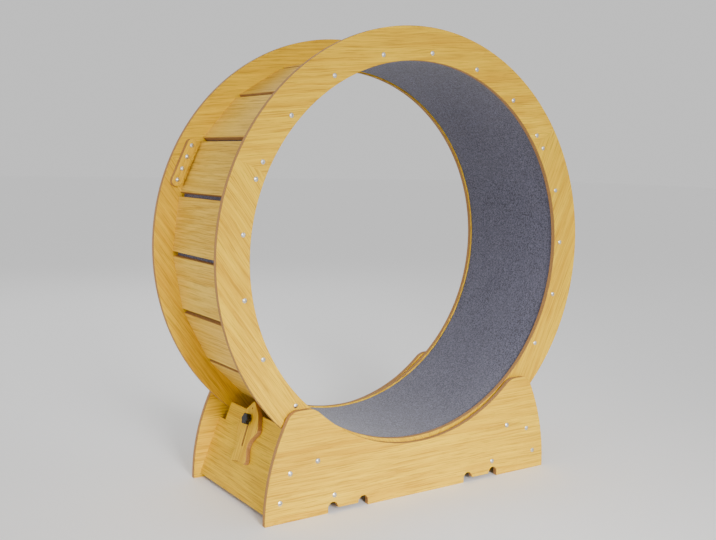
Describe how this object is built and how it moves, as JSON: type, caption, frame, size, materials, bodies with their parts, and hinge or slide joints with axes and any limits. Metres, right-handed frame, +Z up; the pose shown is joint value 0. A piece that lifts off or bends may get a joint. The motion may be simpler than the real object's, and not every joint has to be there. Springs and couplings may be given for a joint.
{
  "type": "cat exercise wheel",
  "caption": "Plywood running wheel with a carpeted slatted track, turning on grooved rollers in a low base with a sliding lock.",
  "frame": {"origin": "on the ground under the wheel's centre, midway between the panels", "axes": "+Z up, +Y along the wheel's axis from the front panel to the back panel, +X from the locked end to the plain end"},
  "size_m": [0.9999, 0.3802, 1.058],
  "materials": {
    "ring_plywood": "satin",
    "slat_plywood": "satin",
    "base_plywood": "satin",
    "rail_wood": "satin",
    "latch_plywood": "satin",
    "zinc_screws": "satin",
    "plated_steel": "satin",
    "bearing_steel": "satin",
    "roller_nylon": "matte",
    "carpet": "matte",
    "knob_plastic": "satin"
  },
  "bodies": {
    "base": {"front_panel": "base_plywood", "back_panel": "base_plywood", "left_end_board": "base_plywood", "right_end_board": "base_plywood", "left_cross_rail": "rail_wood", "right_cross_rail": "rail_wood", "end_board_screws": "zinc_screws", "cross_rail_screws": "zinc_screws", "axle_bolts": "plated_steel", "axle_nuts": "plated_steel", "axle_washers": "plated_steel", "bearing_inner_rings": "bearing_steel", "lock_stud": "plated_steel", "lock_washer": "plated_steel"},
    "wheel": {"front_ring_segment_1": "ring_plywood", "front_ring_segment_2": "ring_plywood", "front_ring_segment_3": "ring_plywood", "back_ring_segment_1": "ring_plywood", "back_ring_segment_2": "ring_plywood", "back_ring_segment_3": "ring_plywood", "slat_01": "slat_plywood", "slat_02": "slat_plywood", "slat_03": "slat_plywood", "slat_04": "slat_plywood", "slat_05": "slat_plywood", "slat_06": "slat_plywood", "slat_07": "slat_plywood", "slat_08": "slat_plywood", "slat_09": "slat_plywood", "slat_10": "slat_plywood", "slat_11": "slat_plywood", "slat_12": "slat_plywood", "slat_13": "slat_plywood", "slat_14": "slat_plywood", "slat_15": "slat_plywood", "slat_16": "slat_plywood", "slat_17": "slat_plywood", "slat_18": "slat_plywood", "slat_19": "slat_plywood", "slat_20": "slat_plywood", "slat_21": "slat_plywood", "splice_plate_front_1": "ring_plywood", "splice_plate_front_2": "ring_plywood", "splice_plate_front_3": "ring_plywood", "splice_plate_back_1": "ring_plywood", "splice_plate_back_2": "ring_plywood", "splice_plate_back_3": "ring_plywood", "rim_screws": "zinc_screws", "splice_screws": "zinc_screws", "carpet_runway": "carpet"},
    "roller_front_left": {"roller_front_left": "roller_nylon", "bearing_front_left": "bearing_steel"},
    "roller_front_right": {"roller_front_right": "roller_nylon", "bearing_front_right": "bearing_steel"},
    "roller_back_left": {"roller_back_left": "roller_nylon", "bearing_back_left": "bearing_steel"},
    "roller_back_right": {"roller_back_right": "roller_nylon", "bearing_back_right": "bearing_steel"},
    "latch": {"lock_slider": "latch_plywood"},
    "knob": {"lock_knob": "knob_plastic"}
  },
  "joints": [
    {"name": "wheel_spin", "type": "hinge", "parent": "base", "child": "wheel", "pos_m": [0, 0, 0.558], "axis": [0, 1, 0], "continuous": true},
    {"name": "roller_front_left_spin", "type": "hinge", "parent": "base", "child": "roller_front_left", "pos_m": [-0.272, -0.163, 0.12364], "axis": [0, 1, 0], "continuous": true},
    {"name": "roller_front_right_spin", "type": "hinge", "parent": "base", "child": "roller_front_right", "pos_m": [0.272, -0.163, 0.12364], "axis": [0, 1, 0], "continuous": true},
    {"name": "roller_back_left_spin", "type": "hinge", "parent": "base", "child": "roller_back_left", "pos_m": [-0.272, 0.163, 0.12364], "axis": [0, 1, 0], "continuous": true},
    {"name": "roller_back_right_spin", "type": "hinge", "parent": "base", "child": "roller_back_right", "pos_m": [0.272, 0.163, 0.12364], "axis": [0, 1, 0], "continuous": true},
    {"name": "latch_slide", "type": "slide", "parent": "base", "child": "latch", "axis": [0.3598, 0.0993, 0.9277], "range_m": [0, 0.0098]},
    {"name": "knob_turn", "type": "hinge", "parent": "base", "child": "knob", "pos_m": [-0.31545, 0.0158, 0.16798], "axis": [-0.9323, 0, 0.3616], "range_deg": [0, 360]}
  ],
  "couplings": [
    {"joint": "roller_front_left_spin", "follows": "wheel_spin", "ratio": -40.984},
    {"joint": "roller_front_right_spin", "follows": "wheel_spin", "ratio": -40.984},
    {"joint": "roller_back_left_spin", "follows": "wheel_spin", "ratio": -40.984},
    {"joint": "roller_back_right_spin", "follows": "wheel_spin", "ratio": -40.984}
  ]
}
